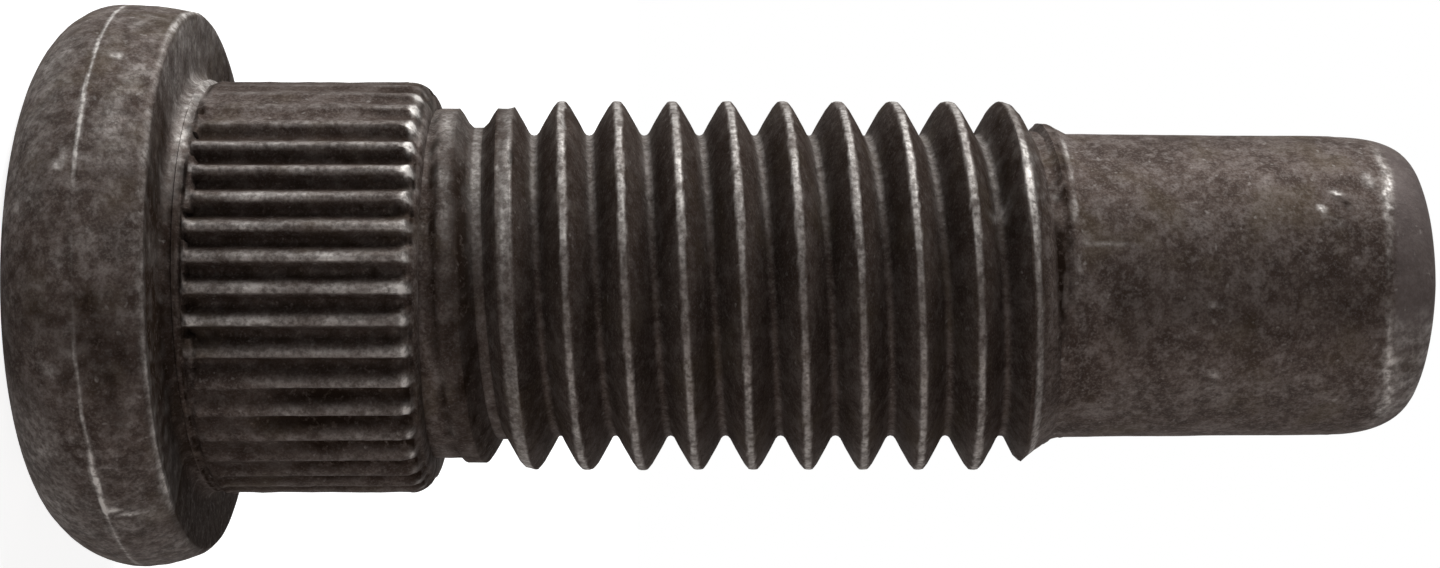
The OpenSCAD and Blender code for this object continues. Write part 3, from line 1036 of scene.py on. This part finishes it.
def mark_thread(skin, thread, pilot):
    """Worn crests, brighter where the light falls as painted highlight, darker flanks, and roots a
    little cleaner than the flanks and painted lighter on the lit upper side.
    """
    z = skin.z
    on_thread = (z > 12.2) & (z < pilot.start_height + 0.6)
    _, offset = thread_place(skin, thread)
    shown = skin.around(CREST_AND_HIGHLIGHT_SHOWN)
    ragged = abs(offset) + skin.patchy(0, 0.05, 0.07) + 0.05 * (1 - shown)
    ragged -= 0.13 * smooth(15.1, 14.5, z)
    crest = smooth(0.17, 0.07, ragged) * smooth(5.1, 5.4, skin.radius) * smooth(13.2, 15.4, z)
    # Dims the painted highlight on the last crest at the top
    crest *= 1 - 0.5 * smooth(29.7, 30.1, z) * smooth(228, 214, skin.angle)
    first_turn = smooth(15.0, 14.6, z) * smooth(0.1, -0.05, offset)
    crest *= 1 - 0.5 * first_turn * smooth(228, 218, skin.angle)
    root = smooth(0.2, 0.1, thread.pitch / 2 - abs(offset)) * (skin.radius < 5.1)
    # Crests and roots: wear, with painted highlight and painted light by angle
    skin.rub_and_light("crests", on_thread * crest * shown * skin.patchy(0.8, 0.6, 0.4))
    skin.rub_and_light("roots", on_thread * root * skin.around(LIT_ROOTS_SHOWN) * smooth(30.6, 29.8, z))
    dirt = skin.around(FLANK_DIRT) - 0.5 * crest - 0.25 * root
    skin.soil_and_shade("flanks", on_thread * dirt * window(z, 12.2, 13.0, 30.35, 30.75))
    last_turn = window(z, 28.3, 29.0, 31.0, 31.3) * skin.arc(LAST_TURN) * (1 - crest)
    skin.vary("last turn", last_turn, skin.patchy(0, 0.5, 1))


def mark_fold(skin, pilot):
    """The folded edge at the end of the thread, with cracks behind it."""
    up = skin.z - pilot.start_height
    fold = lap_amount(skin.angle)
    skin.rub_and_light("fold", fold * hump(up, 0.38, 0.07) * smooth(-0.3, 0.3, skin.coarse))
    broken = 0.35 + 0.75 * smooth(-0.2, 0.25, skin.fine)
    skin.soil_and_shade("fold", fold * hump(up, 0.16, 0.11) * broken)
    cracks = hump(up + 0.1 * skin.coarse, -0.08, 0.13) * smooth(-0.15, 0.15, skin.fine)
    skin.soil_and_shade("cracks", cracks * skin.arc(CRACKS))


def mark_pilot(skin):
    """A pale speckled ring on the rounded end and an even coat beyond it, with painted shade on the
    pilot's middle facing the camera and painted light on its lower side.
    """
    ring_z = np.minimum(40.97 + 1.2 * (1 + np.sin(np.radians(skin.angle))), 41.35)
    past_ring = skin.z - ring_z
    ring = hump(past_ring, 0, skin.around(RING_WIDTH)) * skin.around(RING_SHOWN)
    blotches = skin.patchy(0.35, 0.4) + 0.75 * smooth(-0.35, 0.35, skin.fine)
    skin.rub_and_light("pale ring", ring * blotches)
    rounded = smooth(3.3, 4.1, skin.radius)
    skin.even += smooth(0.05, 0.3, past_ring) * (1 + rounded * skin.around(EVEN_CHANGE))
    streaks = 0.5 + 0.6 * grain(skin.points * (1, 1, 0.4), 0.35, 67)
    low_end = smooth(-0.2, 0.3, past_ring) * skin.arc(LOW_END)
    skin.rub_and_light("low end", low_end * rounded * streaks)
    # Painted shade on the middle of the pilot facing the camera, and painted light on its lower
    # side
    on_pilot = window(skin.z, 32.2, 33.0, 40.5, 41.5)
    skin.soil_and_shade("shade on pilot middle", on_pilot * hump(skin.angle, 277, 15) * skin.patchy(1, 0.5))
    skin.rub_and_light("light on lower pilot", on_pilot * hump(skin.angle, 312, 14) * skin.patchy(1, 1))


def mark_spots(skin, blank, pilot):
    """Single pale and dark marks."""
    bar_radius = np.where(skin.on_head, blank.head_radius, pilot.radius)
    for spot_angle, spot_z, around, along, amount in SPOTS:
        far = (np.radians(angle_from(skin.angle, spot_angle)) * bar_radius / around) ** 2
        far += ((skin.z - spot_z) / along) ** 2
        skin.vary("spots", skin.radius > SPOTS_R, amount * np.exp(-far))


def mark_surface(mesh, blank, thread, pilot):
    """Writes how worn and how grimy each point is, with painted light and shade in the same values,
    worked out from its place.
    """
    skin = Skin(mesh, blank)
    mark_head(skin, blank)
    mark_seat(skin, blank)
    mark_ribs(skin, blank)
    mark_shoulder(skin, blank)
    mark_neck(skin, thread)
    mark_thread(skin, thread, pilot)
    mark_fold(skin, pilot)
    mark_pilot(skin)
    mark_spots(skin, blank, pilot)
    skin.write(mesh)


# The finish

# Textures of the finish: scale, detail and roughness
TEXTURES = {
    "Clouding": (0.9, 4.0, 0.6),
    "Patches": (2.4, 3.0, 0.6),
    "Crystals": (5.5, 3.0, 0.65),
    "Grit": (13.0, 2.0, 0.6),
    "Specks": (4.2, 1.0, 0.4),
    "Oil film": (0.55, 2.0, 0.5),
    "Scuffing": (3.2, 3.0, 0.65),
}
# Layers of the coat, from the bottom up: the texture that each one follows, where it starts and
# where it is full, its share, and its colour in Finish
COAT_LAYERS = (
    ("Dense coat", "Clouding", 0.56, 0.34, 0.85, "coat_dark"),
    ("Thin coat", "Clouding", 0.50, 0.74, 0.65, "coat_pale"),
    ("Dark patches", "Patches", 0.50, 0.30, 0.75, "coat_dark"),
    ("Pale patches", "Patches", 0.50, 0.72, 0.65, "coat_pale"),
    ("Dark crystals", "Crystals", 0.52, 0.34, 0.50, "coat_dark"),
    ("Pale crystals", "Crystals", 0.50, 0.70, 0.48, "coat_pale"),
    ("Dark grit", "Grit", 0.50, 0.36, 0.36, "coat_dark"),
    ("Pale grit", "Grit", 0.52, 0.66, 0.30, "coat_pale"),
    ("Dried oil", "Oil film", 0.52, 0.72, 0.30, "oil"),
)
EVEN_SHARE = 0.57
SPECK_SHARE = 0.2
# Depth of the fine relief and of the hammered skin under it, in millimetres
GRAIN_DEPTH = 0.03
SKIN_DEPTH = 0.09


def add_node(tree, kind, label, inputs=None, **settings):
    """A shader node with its settings and with constants or links on its inputs."""
    made = tree.nodes.new(kind)
    made.label = label
    for key, value in settings.items():
        setattr(made, key, value)
    for key, value in (inputs or {}).items():
        if isinstance(value, bpy.types.NodeSocket):
            tree.links.new(value, made.inputs[key])
        else:
            made.inputs[key].default_value = value
    return made


def noise_value(tree, label, where, scale, detail, roughness):
    """Cloudy values of about 0 to 1."""
    made = add_node(
        tree, "ShaderNodeTexNoise", label,
        {"Vector": where, "Scale": scale, "Detail": detail, "Roughness": roughness},
    )
    return made.outputs["Fac"]


def attribute_value(tree, label, name):
    """A value that mark_surface keeps on the mesh."""
    return add_node(tree, "ShaderNodeAttribute", label, attribute_name=name).outputs["Fac"]


def between(tree, label, value, low, high):
    """Rises from 0 at low to 1 at high."""
    made = add_node(
        tree, "ShaderNodeMapRange", label,
        {"Value": value, "From Min": low, "From Max": high}, interpolation_type="SMOOTHSTEP",
    )
    return made.outputs["Result"]


def maths(tree, label, operation, first, second, third=0.0, clamp=False):
    """One step of arithmetic. MULTIPLY_ADD is first times second plus third."""
    made = add_node(
        tree, "ShaderNodeMath", label, {0: first, 1: second, 2: third},
        operation=operation, use_clamp=clamp,
    )
    return made.outputs["Value"]


def blend(tree, label, factor, first, second):
    """A colour between two others."""
    made = add_node(
        tree, "ShaderNodeMix", label, {0: factor, 6: first, 7: second}, data_type="RGBA"
    )
    return made.outputs[2]


def rgba(value):
    """A colour with full opacity."""
    return (*value, 1.0)


def coat_colour(tree, finish, textures):
    """The phosphate coat: cloudy, crystalline, with dried oil, and even on the rounded end."""
    coat = rgba(finish.coat)
    for label, texture, low, high, share, tint in COAT_LAYERS:
        shown = between(tree, label, textures[texture], low, high)
        amount = maths(tree, label + " share", "MULTIPLY", shown, share)
        coat = blend(tree, label, amount, coat, rgba(getattr(finish, tint)))
    even_mark = attribute_value(tree, "Even places", EVEN_NAME)
    amount = maths(tree, "Even share", "MULTIPLY", even_mark, EVEN_SHARE)
    coat = blend(tree, "Even coat", amount, coat, rgba(finish.coat_even))
    speck = between(tree, "Speck", textures["Specks"], 0.71, 0.79)
    amount = maths(tree, "Speck share", "MULTIPLY", speck, SPECK_SHARE)
    return blend(tree, "Pale specks", amount, coat, rgba(finish.steel))


def grime_and_shade_share(tree, textures):
    """How much grime or painted shade covers the coat, broken up by its crystals."""
    grime_and_shade_mark = attribute_value(tree, "Grimy and shaded places", GRIME_AND_SHADE_NAME)
    lumps = between(tree, "Grime lumps", textures["Crystals"], 0.27, 0.52)
    return maths(tree, "Grime breaks up", "MULTIPLY", grime_and_shade_mark, lumps)


def wear_and_light_share(tree, textures):
    """How much bare steel or painted light shows, flaked and scuffed at its edges."""
    wear_and_light_mark = attribute_value(tree, "Worn and lit places", WEAR_AND_LIGHT_NAME)
    flakes = between(tree, "Flakes", textures["Crystals"], 0.34, 0.66)
    flaked = maths(tree, "Flaked", "MULTIPLY_ADD", flakes, 0.6, 0.02)
    broken = maths(tree, "Wear breaks up", "MULTIPLY_ADD", textures["Scuffing"], 1.0, flaked)
    worn_through = maths(tree, "Worn through", "MULTIPLY", wear_and_light_mark, broken)
    return maths(tree, "Worn", "POWER", worn_through, 1.35, clamp=True)


def steel_relief(tree, place, textures):
    """Fine relief: crystals, grit and small pits on a softly hammered skin."""
    pits = add_node(
        tree, "ShaderNodeTexVoronoi", "Pits", {"Vector": place, "Scale": 1.9}, feature="F1"
    ).outputs["Distance"]
    pit = between(tree, "Pit", pits, 0.16, 0.05)
    rasp = maths(tree, "Rasp", "MULTIPLY_ADD", textures["Grit"], 0.6, textures["Crystals"])
    relief = maths(tree, "Relief", "MULTIPLY_ADD", pit, -0.9, rasp)
    fine = add_node(
        tree, "ShaderNodeBump", "Grain",
        {"Strength": 0.45, "Distance": GRAIN_DEPTH * MM, "Height": relief},
    ).outputs["Normal"]
    return add_node(
        tree, "ShaderNodeBump", "Hammered skin",
        {"Strength": 0.4, "Distance": SKIN_DEPTH * MM, "Height": textures["Clouding"],
         "Normal": fine},
    ).outputs["Normal"]


def steel_finish(finish):
    """Phosphate coat, worn to bare steel on crests and edges and dark with grime in grooves, with
    painted highlights and painted shade in the same places.
    """
    material = bpy.data.materials.new(SLOT)
    material.use_nodes = True
    tree = material.node_tree
    tree.nodes.clear()
    where = add_node(tree, "ShaderNodeTexCoord", "Place").outputs["Object"]
    place = add_node(
        tree, "ShaderNodeVectorMath", "Millimetres", {0: where, 3: 1 / MM}, operation="SCALE"
    ).outputs["Vector"]
    textures = {
        label: noise_value(tree, label, place, *shape) for label, shape in TEXTURES.items()
    }
    grimy_and_shaded = grime_and_shade_share(tree, textures)
    worn = wear_and_light_share(tree, textures)
    tone = coat_colour(tree, finish, textures)
    # Painted shade takes the grime colour, and painted highlights the bare steel colour; worn holds
    # painted light as well as wear
    tone = blend(tree, "Grime", grimy_and_shaded, tone, rgba(finish.grime_and_shade))
    tone = blend(tree, "Bare steel", worn, tone, rgba(finish.steel))
    dull = maths(tree, "Coat roughness", "MULTIPLY_ADD", textures["Crystals"], 0.25, 0.40)
    dull = maths(tree, "Grime is dull", "MULTIPLY_ADD", grimy_and_shaded, 0.25, dull)
    dull = maths(tree, "Wear polishes", "MULTIPLY_ADD", worn, -0.14, dull)
    metal = maths(tree, "Metal shows", "MULTIPLY_ADD", worn, 0.1, 0.2)
    shader = add_node(
        tree, "ShaderNodeBsdfPrincipled", "Steel",
        {"Base Color": tone, "Roughness": dull, "Metallic": metal,
         "Normal": steel_relief(tree, place, textures), "Specular IOR Level": 0.0},
    )
    out = add_node(tree, "ShaderNodeOutputMaterial", "Output")
    tree.links.new(shader.outputs["BSDF"], out.inputs["Surface"])
    return material


# Studio

# The camera: distance, target, lens and sensor in millimetres, and its turn in degrees
CAMERA_DISTANCE = 73.1
CAMERA_TARGET = (-0.05, 0.0, 20.92)
CAMERA_YAW = 0.6
LENS = 57.125
SENSOR = 36.0
FLOOR_SIZE = 1400.0
# The floor glows this much for the camera and for reflections, so that it reads white there
FLOOR_LIFT = 0.86
# Where the lamps shine from, how wide they are in degrees, and their colours
KEY_FROM = (-0.92, 0.03, 0.34)
KEY_SPREAD = 44
KEY_TINT = (0.96, 0.99, 1.0)
FILL_FROM = (0.78, -0.52, 0.08)
FILL_SPREAD = 50
FILL_TINT = (1.0, 0.92, 0.89)


def add_sun(name, direction, strength, spread, tint):
    """A broad lamp that shines from the given direction."""
    lamp = bpy.data.lights.new(name, "SUN")
    lamp.energy = strength
    lamp.color = tint
    lamp.angle = math.radians(spread)
    obj = bpy.data.objects.new(name, lamp)
    bpy.context.scene.collection.objects.link(obj)
    obj.rotation_mode = "QUATERNION"
    obj.rotation_quaternion = Vector(direction).to_track_quat("Z", "Y")


def add_camera(scene):
    """A camera beside the stud, with the head on the left of its picture and the axis level."""
    lens = bpy.data.cameras.new("camera")
    lens.lens = LENS
    lens.sensor_width = SENSOR
    lens.clip_start = MM
    camera = bpy.data.objects.new("camera", lens)
    scene.collection.objects.link(camera)
    yaw = math.radians(CAMERA_YAW)
    right = Vector((0, -math.sin(yaw), math.cos(yaw)))
    up = Vector((-1, 0, 0))
    back = right.cross(up)
    place = (Vector(CAMERA_TARGET) + back * CAMERA_DISTANCE) * MM
    turned = Matrix((right, up, back)).transposed().to_4x4()
    camera.matrix_world = Matrix.Translation(place) @ turned
    scene.camera = camera


def background_rays(tree):
    """1 for the rays that should see a white background."""
    path = add_node(tree, "ShaderNodeLightPath", "Rays")
    seen = maths(
        tree, "Camera or gloss", "MAXIMUM",
        path.outputs["Is Camera Ray"], path.outputs["Is Glossy Ray"],
    )
    return maths(tree, "Or through", "MAXIMUM", seen, path.outputs["Is Transmission Ray"])


def floor_finish(studio):
    """Pale floor that reads white to the camera and still takes the shadow."""
    material = bpy.data.materials.new("pale_floor")
    material.use_nodes = True
    tree = material.node_tree
    tree.nodes.clear()
    seen = background_rays(tree)
    paint = add_node(tree, "ShaderNodeBsdfDiffuse", "Floor", {"Color": rgba(studio.floor)})
    lift = add_node(
        tree, "ShaderNodeEmission", "Lift",
        {"Strength": maths(tree, "Lift share", "MULTIPLY", seen, FLOOR_LIFT)},
    )
    both = add_node(tree, "ShaderNodeAddShader", "Both")
    tree.links.new(paint.outputs[0], both.inputs[0])
    tree.links.new(lift.outputs[0], both.inputs[1])
    out = add_node(tree, "ShaderNodeOutputMaterial", "Output")
    tree.links.new(both.outputs[0], out.inputs["Surface"])
    return material


def white_world(studio):
    """White to the camera and in reflections, and a low even light on the object."""
    world = bpy.data.worlds.new("studio")
    world.use_nodes = True
    tree = world.node_tree
    tree.nodes.clear()
    ambient = studio.ambient
    share = maths(tree, "Share", "MULTIPLY_ADD", background_rays(tree), 1 - ambient, ambient)
    ground = add_node(
        tree, "ShaderNodeBackground", "White", {"Color": (1, 1, 1, 1), "Strength": share}
    )
    out = add_node(tree, "ShaderNodeOutputWorld", "Output")
    tree.links.new(ground.outputs[0], out.inputs["Surface"])
    bpy.context.scene.world = world


# Operators

# The closed surfaces that are joined into the piece
PARTS = ("blank", "thread", "pilot")
# Fewer points than this mean that joining them failed
FEWEST_POINTS = 1000
SHARP_ANGLE = 42


class STUD_OT_blank(bpy.types.Operator):
    """Builds the headed blank: head, collar and serrated band"""

    bl_idname = "stud.blank"
    bl_label = "Headed blank"

    def execute(self, context):
        lathe("blank", blank_rows(in_mm(context.scene.stud_blank)))
        return {"FINISHED"}


class STUD_OT_thread(bpy.types.Operator):
    """Builds the rolled thread with its run-in and run-out"""

    bl_idname = "stud.thread"
    bl_label = "Rolled thread"

    def execute(self, context):
        make_object("thread", *thread_surface(in_mm(context.scene.stud_thread)))
        return {"FINISHED"}


class STUD_OT_pilot(bpy.types.Operator):
    """Builds the plain pilot with its rounded end"""

    bl_idname = "stud.pilot"
    bl_label = "Plain pilot"

    def execute(self, context):
        lathe("pilot", pilot_rows(in_mm(context.scene.stud_pilot)))
        return {"FINISHED"}


class STUD_OT_join(bpy.types.Operator):
    """Joins blank, thread and pilot into one piece of steel and gives it its finish"""

    bl_idname = "stud.join"
    bl_label = "One piece of steel"

    def execute(self, context):
        scene = context.scene
        blank, *others = [bpy.data.objects[name] for name in PARTS]
        for other in others:
            union = blank.modifiers.new("Join " + other.name, "BOOLEAN")
            union.operation = "UNION"
            union.solver = "MANIFOLD"
            union.object = other
        depsgraph = context.evaluated_depsgraph_get()
        mesh = bpy.data.meshes.new_from_object(blank.evaluated_get(depsgraph))
        if len(mesh.vertices) < FEWEST_POINTS:
            raise RuntimeError("The three surfaces could not be joined")
        mark_surface(
            mesh, in_mm(scene.stud_blank), in_mm(scene.stud_thread), in_mm(scene.stud_pilot)
        )
        mesh.materials.clear()
        mesh.materials.append(steel_finish(scene.stud_finish))
        mesh.polygons.foreach_set("use_smooth", np.ones(len(mesh.polygons), bool))
        mesh.set_sharp_from_angle(angle=math.radians(SHARP_ANGLE))
        mesh.name = PIECE
        piece = bpy.data.objects.new(PIECE, mesh)
        scene.collection.objects.link(piece)
        for part in (blank, *others):
            bpy.data.objects.remove(part)
        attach(piece, BODY)
        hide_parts(NODE)
        return {"FINISHED"}


class STUD_OT_studio(bpy.types.Operator):
    """Sets the floor, the light, the world and the camera"""

    bl_idname = "stud.studio"
    bl_label = "Studio"

    def execute(self, context):
        scene = context.scene
        studio = scene.stud_studio
        half = FLOOR_SIZE / 2
        floor = make_object(
            "floor", [(-half, -half, 0), (half, -half, 0), (half, half, 0), (-half, half, 0)],
            [(0, 1, 2, 3)],
        )
        floor.data.materials.append(floor_finish(studio))
        white_world(studio)
        add_sun("key", KEY_FROM, studio.key, KEY_SPREAD, KEY_TINT)
        add_sun("fill", FILL_FROM, studio.fill, FILL_SPREAD, FILL_TINT)
        add_camera(scene)
        scene.view_settings.view_transform = "Standard"
        return {"FINISHED"}


class STUD_PT_panel(bpy.types.Panel):
    """Lists the steps and sizes of the wheel stud"""

    bl_idname = "STUD_PT_panel"
    bl_label = "Wheel Stud"
    bl_space_type = "VIEW_3D"
    bl_region_type = "UI"
    bl_category = "Wheel Stud"

    def draw(self, context):
        column = self.layout.column(align=True)
        for step in OPERATORS:
            column.operator(step.bl_idname, text=step.bl_label)
        for name in GROUPS:
            group = getattr(context.scene, name)
            box = self.layout.box()
            for prop in group.bl_rna.properties:
                if prop.identifier not in ("rna_type", "name"):
                    box.prop(group, prop.identifier)


OPERATORS = (STUD_OT_blank, STUD_OT_thread, STUD_OT_pilot, STUD_OT_join, STUD_OT_studio)
GROUPS = {
    "stud_blank": BlankSizes,
    "stud_thread": ThreadSizes,
    "stud_pilot": PilotSizes,
    "stud_finish": Finish,
    "stud_studio": Studio,
}
CLASSES = (*GROUPS.values(), *OPERATORS, STUD_PT_panel)


def register():
    for made in CLASSES:
        bpy.utils.register_class(made)
    for name, group in GROUPS.items():
        setattr(bpy.types.Scene, name, bpy.props.PointerProperty(type=group))


def unregister():
    for name in GROUPS:
        delattr(bpy.types.Scene, name)
    for made in reversed(CLASSES):
        bpy.utils.unregister_class(made)


def main():
    """Builds the stud and its studio."""
    register()
    bpy.ops.stud.blank()
    bpy.ops.stud.thread()
    bpy.ops.stud.pilot()
    bpy.ops.stud.join()
    bpy.ops.stud.studio()


if __name__ == "__main__":
    main()
